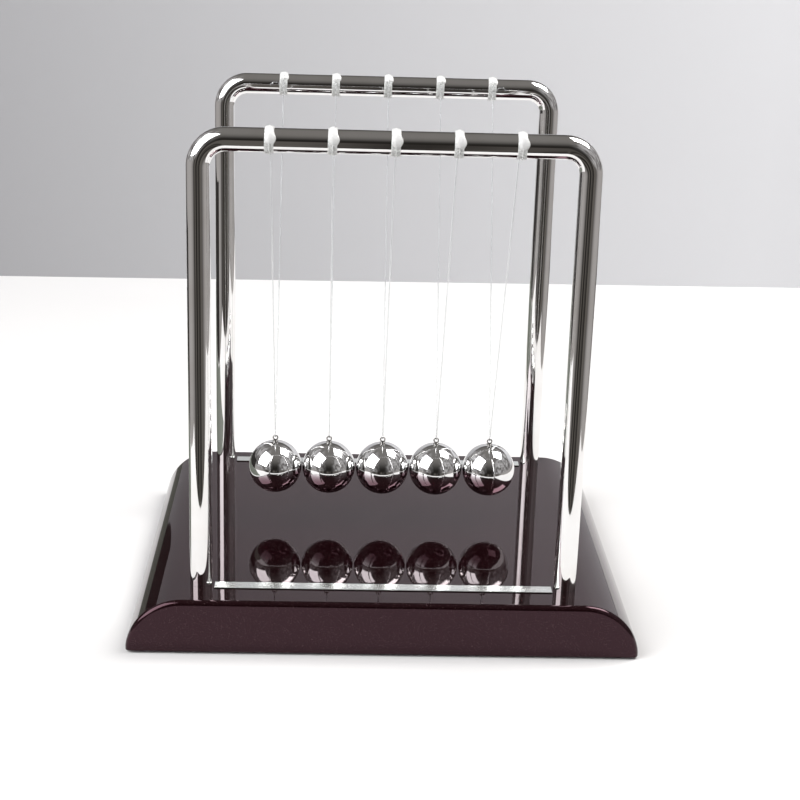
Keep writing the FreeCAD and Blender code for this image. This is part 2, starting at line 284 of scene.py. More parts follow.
def flatten_shading(mesh: bpy.types.Mesh) -> bpy.types.Mesh:
    """Weights a mesh's normals by face area, so that large flat faces reflect flat.

    Args:
        mesh: A mesh with its sharp edges marked.

    Returns:
        A new mesh that carries the weighted normals.
    """
    body = link_object("work", mesh)
    modifier = body.modifiers.new("weights", "WEIGHTED_NORMAL")
    modifier.keep_sharp = True
    modifier.weight = 100
    depsgraph = bpy.context.evaluated_depsgraph_get()
    result = bpy.data.meshes.new_from_object(body.evaluated_get(depsgraph), depsgraph=depsgraph)
    bpy.data.objects.remove(body)
    return result


# --------------------------------------------------------------------------- node trees for geometry


class ShapeTree:
    """A geometry node tree with named inputs that ends in Realize Instances and Set Material."""

    def __init__(self, name: str, sizes: dict[str, float | int]) -> None:
        """Starts a tree.

        Args:
            name: Name of the tree.
            sizes: Named inputs and their first values; whole numbers make whole-number inputs.
        """
        self.tree = bpy.data.node_groups.new(name, "GeometryNodeTree")
        self.tree.interface.new_socket(name="Geometry", in_out="INPUT", socket_type="NodeSocketGeometry")
        for label, value in sizes.items():
            kind = "NodeSocketInt" if isinstance(value, int) else "NodeSocketFloat"
            self.tree.interface.new_socket(name=label, in_out="INPUT", socket_type=kind)
        self.tree.interface.new_socket(name="Geometry", in_out="OUTPUT", socket_type="NodeSocketGeometry")
        self.sizes = sizes
        self.given = self.tree.nodes.new("NodeGroupInput").outputs

    def add(self, kind: str, inputs: dict[str, object] | None = None, **settings: object) -> bpy.types.Node:
        """Adds a node.

        Args:
            kind: Blender's name of the node type.
            inputs: Values or sockets for its inputs, by input name.
            settings: Properties of the node.

        Returns:
            The node.
        """
        node = self.tree.nodes.new(kind)
        for label, value in settings.items():
            setattr(node, label, value)
        for label, value in (inputs or {}).items():
            socket = next(s for s in node.inputs if s.name == label and s.enabled)
            if isinstance(value, bpy.types.NodeSocket):
                self.tree.links.new(value, socket)
            else:
                socket.default_value = value
        return node

    def close(self, geometry: bpy.types.NodeSocket, material: bpy.types.Material) -> None:
        """Ends the tree.

        Args:
            geometry: The socket that carries the finished shape.
            material: What the shape is made of.
        """
        real = self.add("GeometryNodeRealizeInstances", {"Geometry": geometry})
        dressed = self.add("GeometryNodeSetMaterial", {"Geometry": real.outputs[0], "Material": material})
        self.add("NodeGroupOutput", {"Geometry": dressed.outputs[0]})

    def run(self, name: str, host: bpy.types.Mesh) -> bpy.types.Mesh:
        """Runs the tree on a mesh and keeps the result.

        Args:
            name: Name of the result.
            host: The mesh that the tree starts from.

        Returns:
            A plain mesh.
        """
        holder = link_object(name, host)
        modifier = holder.modifiers.new(name, "NODES")
        modifier.node_group = self.tree
        for item in self.tree.interface.items_tree:
            if item.in_out == "INPUT" and item.name in self.sizes:
                modifier[item.identifier] = self.sizes[item.name]
        depsgraph = bpy.context.evaluated_depsgraph_get()
        result = bpy.data.meshes.new_from_object(holder.evaluated_get(depsgraph), depsgraph=depsgraph)
        bpy.data.objects.remove(holder)
        return result


def polyline(points: list[Vector]) -> bpy.types.Mesh:
    """An open chain of edges.

    Args:
        points: Its corners in order.

    Returns:
        The chain as a mesh.
    """
    mesh = bpy.data.meshes.new("route")
    mesh.from_pydata([tuple(p) for p in points], [(i, i + 1) for i in range(len(points) - 1)], [])
    return mesh


def bent_rod(name: str, corners: list[Vector], radius: float, bend: float, steps: int, sides: int,
             material: bpy.types.Material) -> bpy.types.Mesh:
    """A round rod or line along straight runs joined by round bends.

    Args:
        name: Name of the result.
        corners: Ends of the runs.
        radius: Radius of the rod.
        bend: Middle-line radius of each bend.
        steps: Sections in each bend.
        sides: Faces round the rod.
        material: What the rod is made of.

    Returns:
        A closed mesh.
    """
    sizes = {"Rod Radius": radius, "Bend Radius": bend, "Bend Steps": steps, "Sides": sides}
    tree = ShapeTree(name, sizes)
    route = tree.add("GeometryNodeMeshToCurve", {"Mesh": tree.given["Geometry"]})
    turned = tree.add(
        "GeometryNodeFilletCurve",
        {"Curve": route.outputs[0], "Count": tree.given["Bend Steps"], "Radius": tree.given["Bend Radius"]},
        mode="POLY",
    )
    section = tree.add(
        "GeometryNodeCurvePrimitiveCircle",
        {"Resolution": tree.given["Sides"], "Radius": tree.given["Rod Radius"]},
        mode="RADIUS",
    )
    skin = tree.add(
        "GeometryNodeCurveToMesh",
        {"Curve": turned.outputs[0], "Profile Curve": section.outputs[0], "Fill Caps": True},
    )
    tree.close(skin.outputs[0], material)
    return tree.run(name, polyline(corners))


@dataclass(frozen=True)
class Rows:
    """A rectangle of copies."""

    columns: int
    rows: int
    width: float
    depth: float
    spin: float = 0.0
    uneven: float = 0.0
    seed: int = 3


def repeated(name: str, pattern: bpy.types.Mesh, centre: Vector, rows: Rows, material: bpy.types.Material,
             spiral: dict[str, float | int] | None = None) -> bpy.types.Mesh:
    """Copies of a mesh on a grid, with a coil of line in each where one is wanted.

    Args:
        name: Name of the result.
        pattern: The mesh to repeat, drawn about the origin.
        centre: Middle of the grid.
        rows: How many copies, how far apart and how uneven.
        material: What the copies are made of.
        spiral: Turns, turn radius, coil length and line radius of a coil about X, or None.

    Returns:
        One plain mesh with every copy in place.
    """
    sizes = {"Columns": rows.columns, "Rows": rows.rows, "Width": rows.width, "Depth": rows.depth,
             "Spin": rows.spin, "Smallest": 1.0 - rows.uneven, "Largest": 1.0 + rows.uneven,
             "Seed": rows.seed}
    sizes.update(spiral or {})
    tree = ShapeTree(name, sizes)
    copied = tree.given["Geometry"]
    if spiral:
        coil = tree.add(
            "GeometryNodeCurveSpiral",
            {"Resolution": 36, "Rotations": tree.given["Turns"], "Start Radius": tree.given["Turn Radius"],
             "End Radius": tree.given["Turn Radius"], "Height": tree.given["Coil Length"]},
        )
        section = tree.add("GeometryNodeCurvePrimitiveCircle",
                           {"Resolution": 10, "Radius": tree.given["Line Radius"]}, mode="RADIUS")
        skin = tree.add("GeometryNodeCurveToMesh",
                        {"Curve": coil.outputs[0], "Profile Curve": section.outputs[0], "Fill Caps": True})
        half = tree.add("ShaderNodeMath", operation="MULTIPLY")
        tree.tree.links.new(tree.given["Coil Length"], half.inputs[0])
        half.inputs[1].default_value = -0.5
        shift = tree.add("ShaderNodeCombineXYZ", {"Z": half.outputs[0]})
        centred = tree.add("GeometryNodeTransform",
                           {"Geometry": skin.outputs[0], "Translation": shift.outputs[0]})
        laid = tree.add("GeometryNodeTransform",
                        {"Geometry": centred.outputs[0], "Rotation": (0.0, math.pi / 2.0, 0.0)})
        both = tree.add("GeometryNodeJoinGeometry")
        tree.tree.links.new(copied, both.inputs[0])
        tree.tree.links.new(laid.outputs[0], both.inputs[0])
        copied = both.outputs[0]
    grid = tree.add(
        "GeometryNodeMeshGrid",
        {"Size X": tree.given["Width"], "Size Y": tree.given["Depth"],
         "Vertices X": tree.given["Columns"], "Vertices Y": tree.given["Rows"]},
    )
    spots = tree.add("GeometryNodeMeshToPoints", {"Mesh": grid.outputs[0]})
    back = tree.add("ShaderNodeMath", operation="MULTIPLY")
    tree.tree.links.new(tree.given["Spin"], back.inputs[0])
    back.inputs[1].default_value = -1.0
    spin = tree.add("FunctionNodeRandomValue",
                    {"Min": back.outputs[0], "Max": tree.given["Spin"], "Seed": tree.given["Seed"]},
                    data_type="FLOAT")
    turn = tree.add("ShaderNodeCombineXYZ", {"Z": spin.outputs[1]})
    size = tree.add("FunctionNodeRandomValue",
                    {"Min": tree.given["Smallest"], "Max": tree.given["Largest"], "Seed": tree.given["Seed"]},
                    data_type="FLOAT")
    copies = tree.add(
        "GeometryNodeInstanceOnPoints",
        {"Points": spots.outputs[0], "Instance": copied, "Rotation": turn.outputs[0],
         "Scale": size.outputs[1]},
    )
    tree.close(copies.outputs[0], material)
    mesh = tree.run(name, pattern)
    mesh.transform(Matrix.Translation(centre))
    return mesh


# --------------------------------------------------------------------------- finishes


class Shader:
    """A material in the making: one Principled surface and the nodes that feed it."""

    def __init__(self, name: str) -> None:
        """Starts a material with Object coordinates counted in millimetres.

        Args:
            name: Name of the material.
        """
        self.material = bpy.data.materials.new(name)
        self.material.use_nodes = True
        self.nodes = self.material.node_tree.nodes
        self.links = self.material.node_tree.links
        self.nodes.clear()
        self.output = self.nodes.new("ShaderNodeOutputMaterial")
        self.surface = self.nodes.new("ShaderNodeBsdfPrincipled")
        self.links.new(self.surface.outputs[0], self.output.inputs["Surface"])
        self.place = self.nodes.new("ShaderNodeTexCoord").outputs["Object"]

    def constants(self, **values: object) -> None:
        """Sets values that are the same all over the surface, named as the sockets with _ for spaces."""
        for label, value in values.items():
            self.surface.inputs[label.replace("_", " ")].default_value = value

    def spread(self, stretch: Point = (1.0, 1.0, 1.0)) -> bpy.types.NodeSocket:
        """Coordinates in millimetres.

        Args:
            stretch: How tight the pattern runs along each axis.

        Returns:
            The vector socket.
        """
        mapping = self.nodes.new("ShaderNodeMapping")
        mapping.inputs["Scale"].default_value = tuple(PER_MM * value for value in stretch)
        self.links.new(self.place, mapping.inputs["Vector"])
        return mapping.outputs["Vector"]

    def noise(self, size: float, detail: float = 3.0,
              stretch: Point = (1.0, 1.0, 1.0)) -> bpy.types.NodeSocket:
        """Soft noise.

        Args:
            size: Width of its patches in millimetres.
            detail: Levels of finer noise in it.
            stretch: How tight it runs along each axis.

        Returns:
            The value socket.
        """
        node = self.nodes.new("ShaderNodeTexNoise")
        node.inputs["Scale"].default_value = 1.0 / size
        node.inputs["Detail"].default_value = detail
        self.links.new(self.spread(stretch), node.inputs["Vector"])
        return node.outputs["Fac"]

    def cells(self, size: float, feature: str = "F1") -> bpy.types.NodeSocket:
        """Distance to the nearest of scattered points.

        Args:
            size: Space between the points in millimetres.
            feature: Blender's name of the distance wanted.

        Returns:
            The value socket.
        """
        node = self.nodes.new("ShaderNodeTexVoronoi")
        node.feature = feature
        node.inputs["Scale"].default_value = 1.0 / size
        self.links.new(self.spread(), node.inputs["Vector"])
        return node.outputs["Distance"]

    def between(self, value: bpy.types.NodeSocket, source: tuple[float, float],
                target: tuple[float, float]) -> bpy.types.NodeSocket:
        """Maps one range of a value to another, held at its ends.

        Args:
            value: The value socket.
            source: The range that is read.
            target: The range that it becomes.

        Returns:
            The new value socket.
        """
        node = self.nodes.new("ShaderNodeMapRange")
        node.inputs["From Min"].default_value, node.inputs["From Max"].default_value = source
        node.inputs["To Min"].default_value, node.inputs["To Max"].default_value = target
        self.links.new(value, node.inputs["Value"])
        return node.outputs["Result"]

    def blend(self, share: bpy.types.NodeSocket, first: Colour, second: Colour) -> bpy.types.NodeSocket:
        """Mixes two colours.

        Args:
            share: How much of the second colour shows.
            first: Colour at 0.
            second: Colour at 1.

        Returns:
            The colour socket.
        """
        node = self.nodes.new("ShaderNodeMix")
        node.data_type = "RGBA"
        self.links.new(share, node.inputs["Factor"])
        node.inputs[6].default_value = (*first, 1.0)
        node.inputs[7].default_value = (*second, 1.0)
        return node.outputs[2]

    def feed(self, label: str, value: bpy.types.NodeSocket) -> None:
        """Links a socket to one of the surface's inputs."""
        self.links.new(value, self.surface.inputs[label])

    def relief(self, height: bpy.types.NodeSocket, depth: float, strength: float = 1.0) -> None:
        """Raises the surface.

        Args:
            height: Height from 0 to 1.
            depth: What a height of 1 stands for, in millimetres.
            strength: Share of the relief that shows.
        """
        node = self.nodes.new("ShaderNodeBump")
        node.inputs["Distance"].default_value = depth * MM
        node.inputs["Strength"].default_value = strength
        self.links.new(height, node.inputs["Height"])
        self.links.new(node.outputs["Normal"], self.surface.inputs["Normal"])


@dataclass(frozen=True)
class PlatedMetal:
    """Bright plating or polished metal with handling haze on it, and painted shade on its lower sides where
    asked for.
    """

    name: str
    colour: Colour = (0.86, 0.855, 0.85)
    tarnish: Colour = (0.80, 0.785, 0.77)
    polish: float = 0.03
    haze: float = 0.07
    haze_size: float = 14.0
    ripple: float = 0.0
    ripple_size: float = 6.0
    grain: Point = (1.0, 1.0, 1.0)
    # painted shade: below this height the metal is painted a dark, non-metallic colour, standing in for the
    # shade along the strip's edge
    painted_shade_below: float = 0.0
    painted_shade_blend: float = 0.02 * MM
    painted_shade_colour: Colour = (0.006, 0.005, 0.005)

    def material(self) -> bpy.types.Material:
        """Builds the metal: haze in patches, a fine ripple along the grain, and painted shade that may darken
        it below a height.
        """
        shader = Shader(self.name)
        shader.constants(Metallic=1.0)
        patches = shader.noise(self.haze_size, 4.0)
        colour = shader.blend(shader.between(patches, (0.45, 0.75), (0.0, 1.0)), self.colour, self.tarnish)
        # painted shade: below the given height the colour turns dark and the surface stops being metallic
        if self.painted_shade_below > 0.0:
            split = shader.nodes.new("ShaderNodeSeparateXYZ")
            shader.links.new(shader.place, split.inputs[0])
            edge = (self.painted_shade_below, self.painted_shade_below + self.painted_shade_blend)
            outside_painted_shade = shader.between(split.outputs["Z"], edge, (0.0, 1.0))
            paint = shader.nodes.new("ShaderNodeMix")
            paint.data_type = "RGBA"
            paint.inputs[6].default_value = (*self.painted_shade_colour, 1.0)
            shader.links.new(outside_painted_shade, paint.inputs["Factor"])
            shader.links.new(colour, paint.inputs[7])
            colour = paint.outputs[2]
            shader.feed("Metallic", outside_painted_shade)
        shader.feed("Base Color", colour)
        wipes = shader.noise(self.haze_size / 4.0, 5.0, self.grain)
        shader.feed("Roughness", shader.between(wipes, (0.35, 0.8), (self.polish, self.haze)))
        if self.ripple > 0.0:
            shader.relief(shader.noise(self.ripple_size, 2.0, self.grain), self.ripple)
        return shader.material


@dataclass(frozen=True)
class GlossPlastic:
    """Dark moulded plastic with a high gloss, fine flecks and a slight orange peel."""

    name: str
    colour: Colour = (0.0062, 0.0014, 0.0020)
    fleck: Colour = (0.085, 0.058, 0.058)
    fleck_size: float = 0.36
    mirror_tint: Colour = (1.0, 0.58, 0.70)
    polish: float = 0.018
    haze: float = 0.060
    peel: float = 0.0016
    peel_size: float = 1.3

    def material(self) -> bpy.types.Material:
        """Builds the plastic: flecks in the colour, wiped haze in the gloss, peel in the relief."""
        shader = Shader(self.name)
        shader.constants(IOR=1.47, Specular_Tint=(*self.mirror_tint, 1.0))
        specks = shader.between(shader.noise(self.fleck_size, 2.0), (0.64, 0.76), (0.0, 1.0))
        shader.feed("Base Color", shader.blend(specks, self.colour, self.fleck))
        wipes = shader.noise(22.0, 6.0, (1.0, 2.2, 1.0))
        shader.feed("Roughness", shader.between(wipes, (0.42, 0.78), (self.polish, self.haze)))
        shader.relief(shader.noise(self.peel_size, 1.0), self.peel)
        return shader.material


@dataclass(frozen=True)
class TexturedPlastic:
    """Matte moulded plastic with a spark-eroded grain."""

    name: str
    colour: Colour = (0.016, 0.012, 0.012)
    worn: Colour = (0.032, 0.027, 0.026)
    grain_size: float = 0.9
    grain_depth: float = 0.05

    def material(self) -> bpy.types.Material:
        """Builds the plastic: a cell grain in relief, paler where it is rubbed."""
        shader = Shader(self.name)
        shader.constants(IOR=1.5)
        rubbed = shader.between(shader.noise(26.0, 4.0), (0.45, 0.7), (0.0, 1.0))
        shader.feed("Base Color", shader.blend(rubbed, self.colour, self.worn))
        shader.feed("Roughness", shader.between(shader.noise(9.0), (0.3, 0.7), (0.5, 0.68)))
        shader.relief(shader.cells(self.grain_size), self.grain_depth, 0.7)
        return shader.material


@dataclass(frozen=True)
class ClearLine:
    """Clear or milky plastic: nylon line, or the glue on it."""

    name: str
    colour: Colour = (0.93, 0.94, 0.95)
    clouded: Colour = (0.82, 0.83, 0.84)
    clearness: float = 0.7
    milk: float = 0.0
    polish: float = 0.12
    cloud_size: float = 1.2
    bend: float = 1.5

    def material(self) -> bpy.types.Material:
        """Builds the plastic: clouds of a duller tone and a soft, uneven gloss."""
        shader = Shader(self.name)
        shader.constants(IOR=self.bend, Transmission_Weight=self.clearness, Subsurface_Weight=self.milk,
                         Subsurface_Radius=(0.8, 0.8, 0.8), Subsurface_Scale=0.6 * MM)
        clouds = shader.between(shader.noise(self.cloud_size, 3.0), (0.35, 0.7), (0.0, 1.0))
        shader.feed("Base Color", shader.blend(clouds, self.colour, self.clouded))
        shader.feed("Roughness", shader.between(clouds, (0.0, 1.0), (self.polish, self.polish * 2.2)))
        shader.relief(shader.noise(self.cloud_size * 0.6, 2.0), 0.03, 0.5)
        return shader.material


@dataclass(frozen=True)
class CellFoam:
    """Closed-cell foam pads."""

    name: str
    colour: Colour = (0.030, 0.029, 0.029)
    dust: Colour = (0.085, 0.080, 0.075)
    cell_size: float = 0.55

    def material(self) -> bpy.types.Material:
        """Builds the foam: burst cells in relief with dust caught in them."""
        shader = Shader(self.name)
        caught = shader.between(shader.noise(3.0, 4.0), (0.45, 0.75), (0.0, 1.0))
        shader.feed("Base Color", shader.blend(caught, self.colour, self.dust))
        shader.feed("Roughness", shader.between(shader.noise(1.5), (0.3, 0.7), (0.82, 0.96)))
        shader.relief(shader.cells(self.cell_size, "SMOOTH_F1"), 0.16)
        return shader.material


@dataclass(frozen=True)
class StagePaint:
    """Plain matte paint of the floor and the wall, which may carry painted shade, darker from the right to
    the left.
    """

    name: str
    colour: Colour
    shade: Colour
    painted_shade_range: tuple[float, float] | None = None
    one_sided: bool = False

    def material(self) -> bpy.types.Material:
        """Builds the paint, which may be seen from its front only."""
        shader = Shader(self.name)
        patches = shader.between(shader.noise(420.0, 2.0), (0.3, 0.7), (0.0, 1.0))
        # painted shade: across this range of X the colour runs from the darker left to the lighter right
        if self.painted_shade_range:
            split = shader.nodes.new("ShaderNodeSeparateXYZ")
            shader.links.new(shader.place, split.inputs[0])
            patches = shader.between(split.outputs["X"], self.painted_shade_range, (0.0, 1.0))
        shader.feed("Base Color", shader.blend(patches, self.colour, self.shade))
        shader.constants(Roughness=0.75, Specular_IOR_Level=0.2)
        if self.one_sided:
            clear = shader.nodes.new("ShaderNodeBsdfTransparent")
            mix = shader.nodes.new("ShaderNodeMixShader")
            facing = shader.nodes.new("ShaderNodeNewGeometry")
            shader.links.new(facing.outputs["Backfacing"], mix.inputs[0])
            shader.links.new(shader.surface.outputs[0], mix.inputs[1])
            shader.links.new(clear.outputs[0], mix.inputs[2])
            shader.links.new(mix.outputs[0], shader.output.inputs["Surface"])
        return shader.material


class Material(Enum):
    """Every finish on the cradle, with the record's slot that it belongs to."""

    SHELL = ("gloss_shell", GlossPlastic("dark_gloss_plastic"))
    PLATE = ("matte_plate", TexturedPlastic("grained_black_plastic"))
    ROD = ("chrome_rod", PlatedMetal("chrome_plated_rod", ripple=0.0006, grain=(1.0, 1.0, 0.25)))
    # the strip's sides below 20.27 mm carry painted shade, dark and not metallic
    STRIP = ("bright_strip", PlatedMetal("polished_strip", (0.90, 0.92, 0.90), (0.82, 0.86, 0.84), 0.10, 0.24,
                                         9.0, 0.0012, 3.0, (0.1, 2.0, 1.0), 20.27 * MM))
    SCREW = ("screw_steel",
             PlatedMetal("zinc_plated_steel", (0.62, 0.62, 0.60), (0.50, 0.49, 0.45), 0.22, 0.42,
                         2.5, 0.004, 0.5))
    FOOT = ("foot_foam", CellFoam("closed_cell_foam"))
    LINE = ("nylon", ClearLine("nylon_line", clearness=0.94, polish=0.06, bend=1.36))
    WOUND = ("nylon", ClearLine("wound_nylon", (0.90, 0.91, 0.90), (0.80, 0.81, 0.79), 0.35, 0.3, 0.18))
    GLUE = ("nylon", ClearLine("set_glue", (0.97, 0.97, 0.96), (0.88, 0.88, 0.86), 0.30, 0.5, 0.10, 0.9))
    EYE = ("eye_steel",
           PlatedMetal("turned_steel_eye", (0.36, 0.35, 0.34), (0.24, 0.23, 0.22), 0.12, 0.28, 1.2,
                       0.002, 0.4))
    BALL = ("ball_chrome",
            PlatedMetal("chrome_ball", (0.84, 0.84, 0.84), (0.80, 0.795, 0.79), 0.012, 0.035, 11.0))

    def __init__(self, slot: str, finish: object) -> None:
        """Keeps the record's slot and the finish."""
        self.slot = slot
        self.finish = finish

    def made(self) -> bpy.types.Material:
        """The Blender material, built the first time it is asked for."""
        found = bpy.data.materials.get(self.finish.name)
        return found or self.finish.material()


def place(name: str, mesh: bpy.types.Mesh, body: str, finish: Material, nodes: list[str]) -> bpy.types.Object:
    """Puts a finished piece on its body in place of CAD nodes.

    Args:
        name: Name of the piece.
        mesh: Its mesh, in place.
        body: The CAD body that it rides on.
        finish: Its finish.
        nodes: The CAD nodes that it stands for.

    Returns:
        The piece.
    """
    mesh.materials.clear()
    mesh.materials.append(finish.made())
    piece = link_object(name, mesh)
    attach(piece, body)
    if nodes:
        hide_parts(*nodes)
    LOG.info("%s: %d faces on %s, for %s", name, len(mesh.polygons), body, ", ".join(nodes) or "detail")
    return piece


def dress(node: str, finish: Material) -> None:
    """Gives a CAD node that stays its finish.

    Args:
        node: Name of the node.
        finish: Its finish.
    """
    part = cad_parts[node]
    part.data.materials.clear()
    part.data.materials.append(finish.made())
    LOG.info("%s: dressed as %s", node, finish.finish.name)


# --------------------------------------------------------------------------- the stand


@dataclass
class Base:
    """The moulded base with its plate, screws, feet and bright strips."""

    layout: Layout
    wall: float = 2.6 * MM
    side_run: float = 20.0 * MM
    lip: float = 1.5 * MM
    edge_round: float = 1.8 * MM
    leg_fit: float = 0.05 * MM
    strip_fit: float = 0.05 * MM
    socket_depth: float = 9.5 * MM
    arc_steps: int = 40
    round_steps: int = 10
    foot_bevel: float = 0.4 * MM

    def outline(self, inset: float) -> Profile:
        """Outline of the base in XZ above its rim.

        Args:
            inset: How far it is moved inwards.

        Returns:
            Points from the right end of the rim over the top to the left end.
        """
        low, high = self.layout.base_low, self.layout.base_high
        rise = high.z - low.z - self.lip
        radius = (self.side_run ** 2 + rise ** 2) / (2.0 * rise)
        centre_x, centre_z = high.x - self.side_run, high.z - radius
        start_z = low.z + self.lip
        start_x = centre_x + math.sqrt((radius - inset) ** 2 - (start_z - centre_z) ** 2)
        first = math.atan2(start_z - centre_z, start_x - centre_x)
        right = [(start_x, low.z)]
        for step in range(self.arc_steps + 1):
            turn = first + (math.pi / 2.0 - first) * step / self.arc_steps
            right.append((centre_x + (radius - inset) * math.cos(turn),
                          centre_z + (radius - inset) * math.sin(turn)))
        return right + [(-x, z) for x, z in reversed(right)]

    def slab(self, inset: float, rounding: float, drop: float = 0.0) -> bpy.types.Mesh:
        """The base as a closed block.

        Args:
            inset: How far its sides and top are moved inwards.
            rounding: Radius of the rounding round its two end faces.
            drop: How far its rim is pulled down.

        Returns:
            The block's mesh.
        """
        near = self.layout.base_low.y + inset
        far = self.layout.base_high.y - inset
        slices = [(near, 0.0), (far, 0.0)]
        if rounding > 0.0:
            turns = [math.pi / 2.0 * step / self.round_steps for step in range(self.round_steps + 1)]
            front = [(near + rounding * (1.0 - math.cos(t)), rounding * (1.0 - math.sin(t))) for t in turns]
            slices = front + [(near + far - y, extra) for y, extra in reversed(front)]
        rings = []
        for y, extra in slices:
            points = self.outline(inset + extra)
            ends = (0, len(points) - 1)
            rings.append([Vector((x, y, z - (drop if i in ends else 0.0)))
                          for i, (x, z) in enumerate(points)])
        form = bmesh.new()
        loft(form, rings)
        return mesh_from(form, "slab")

    def housing(self) -> bpy.types.Mesh:
        """The shell: rounded outside, hollow underside, leg sockets and strip grooves.

        Returns:
            The shell's mesh with flat, undistorted faces.
        """
        layout = self.layout
        cutters = [self.slab(self.wall, 0.0, 4.0 * MM)]
        bore = layout.rod_radius + self.leg_fit
        top = layout.base_high.z
        solids = []
        for x in (-layout.leg_x, layout.leg_x):
            for y in (layout.front_y, layout.rear_y):
                post = bmesh.new()
                lathe(post,
                      [(0.0, -self.socket_depth - 2.5 * MM), (bore + 3.0 * MM, -self.socket_depth - 2.5 * MM),
                       (bore + 3.0 * MM, -self.wall / 2.0), (0.0, -self.wall / 2.0)],
                      Vector((x, y, top)), 40)
                solids.append(mesh_from(post, "post"))
                hole = bmesh.new()
                lathe(hole, [(0.0, -self.socket_depth), (bore, -self.socket_depth), (bore, MM), (0.0, MM)],
                      Vector((x, y, top)), 64)
                cutters.append(mesh_from(hole, "bore"))
        for node in ("front_strip", "rear_strip"):
            low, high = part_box(node)
            fit = self.strip_fit
            cutters.append(block((low.x - fit, low.y - fit, low.z), (high.x + fit, high.y + fit, top + MM)))
        hollow = cut(self.slab(0.0, self.edge_round), cutters[:1])
        shell = cut(hollow, solids, "UNION")
        shell = cut(shell, cutters[1:])
        return flatten_shading(smooth(shell, math.radians(24.0)))

    def countersunk_screw(self) -> bpy.types.Mesh:
        """One cross-recessed screw about the origin, head down.

        Returns:
            Its mesh.
        """
        head, shank, length = 2.6 * MM, 1.2 * MM, 9.0 * MM
        sink = head - shank
        form = bmesh.new()
        lathe(form, [(0.0, 0.0), (head - 0.12 * MM, 0.0), (head, 0.1 * MM), (shank, sink),
                     (shank, length - 1.5 * MM),
                     (0.3 * MM, length), (0.0, length)], Vector(), 32)
        body = mesh_from(form, "screw")
        arm, half, deep = 1.5 * MM, 0.3 * MM, 0.7 * MM
        recess = [block((-arm, -half, -MM), (arm, half, deep)), block((-half, -arm, -MM), (half, arm, deep))]
        return smooth(cut(body, recess))

    def foot(self) -> bpy.types.Mesh:
        """One foam pad about the origin, with a soft lower edge.

        Returns:
            Its mesh.
        """
        low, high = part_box("foot_pad_1")
        radius, height = (high.x - low.x) / 2.0, high.z - low.z
        bevel = self.foot_bevel
        edge = [(radius - bevel + bevel * math.sin(t), bevel - bevel * math.cos(t))
                for t in (math.pi / 2.0 * k / 5 for k in range(6))]
        form = bmesh.new()
        lathe(form, [(0.0, 0.0), *edge, (radius, height), (0.0, height)], Vector(), 48)
        return smooth(mesh_from(form, "foot"))

    def build(self) -> None:
        """Makes the base's pieces and dresses the CAD nodes that stay."""
        place("base_housing", self.housing(), "stand", Material.SHELL, ["base_shell"])
        low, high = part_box("plate_screws")
        head = 2.6 * MM
        grid = Rows(3, 2, high.x - low.x - 2.0 * head, high.y - low.y - 2.0 * head, spin=math.pi, seed=5)
        screws = repeated("plate_screw_set", self.countersunk_screw(), Vector((0.0, 0.0, low.z)), grid,
                          Material.SCREW.made())
        place("plate_screw_set", smooth(screws), "stand", Material.SCREW, ["plate_screws"])
        first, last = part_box("foot_pad_1"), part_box("foot_pad_4")
        near, far = (first[0] + first[1]) / 2.0, (last[0] + last[1]) / 2.0
        grid = Rows(2, 2, far.x - near.x, far.y - near.y, spin=math.pi)
        feet = repeated("foot_pads", self.foot(), Vector((0.0, (near.y + far.y) / 2.0, first[0].z)), grid,
                        Material.FOOT.made())
        place("foot_pads", smooth(feet), "stand", Material.FOOT, [f"foot_pad_{n}" for n in range(1, 5)])
        dress("bottom_plate", Material.PLATE)
        dress("front_strip", Material.STRIP)
        dress("rear_strip", Material.STRIP)
        dress("leg_screws", Material.SCREW)
        dress("leg_washers", Material.SCREW)


class Side(Enum):
    """The two frames: node prefix, and the direction in Y from the bar to the balls."""

    FRONT = ("front", 1.0)
    REAR = ("rear", -1.0)

    def __init__(self, prefix: str, inward: float) -> None:
        """Keeps the node prefix and the inward direction."""
        self.prefix = prefix
        self.inward = inward

    def bar_y(self, layout: Layout) -> float:
        """Where this frame stands along Y."""
        return layout.front_y if self is Side.FRONT else layout.rear_y


@dataclass
class RodFrame:
    """One chrome rod bent twice into two legs and a bar."""

    layout: Layout
    side: Side
    bend: float = 9.0 * MM
    bend_steps: int = 32
    sides: int = 72

    def build(self) -> None:
        """Makes the rod and puts it in place of its node."""
        layout, y = self.layout, self.side.bar_y(self.layout)
        corners = [Vector((-layout.leg_x, y, layout.leg_end_z)), Vector((-layout.leg_x, y, layout.bar_z)),
                   Vector((layout.leg_x, y, layout.bar_z)), Vector((layout.leg_x, y, layout.leg_end_z))]
        name = f"{self.side.prefix}_rod"
        rod = bent_rod(name, corners, layout.rod_radius, self.bend, self.bend_steps, self.sides,
                       Material.ROD.made())
        place(name, smooth(rod, math.radians(50.0)), "stand", Material.ROD, [f"{self.side.prefix}_frame"])


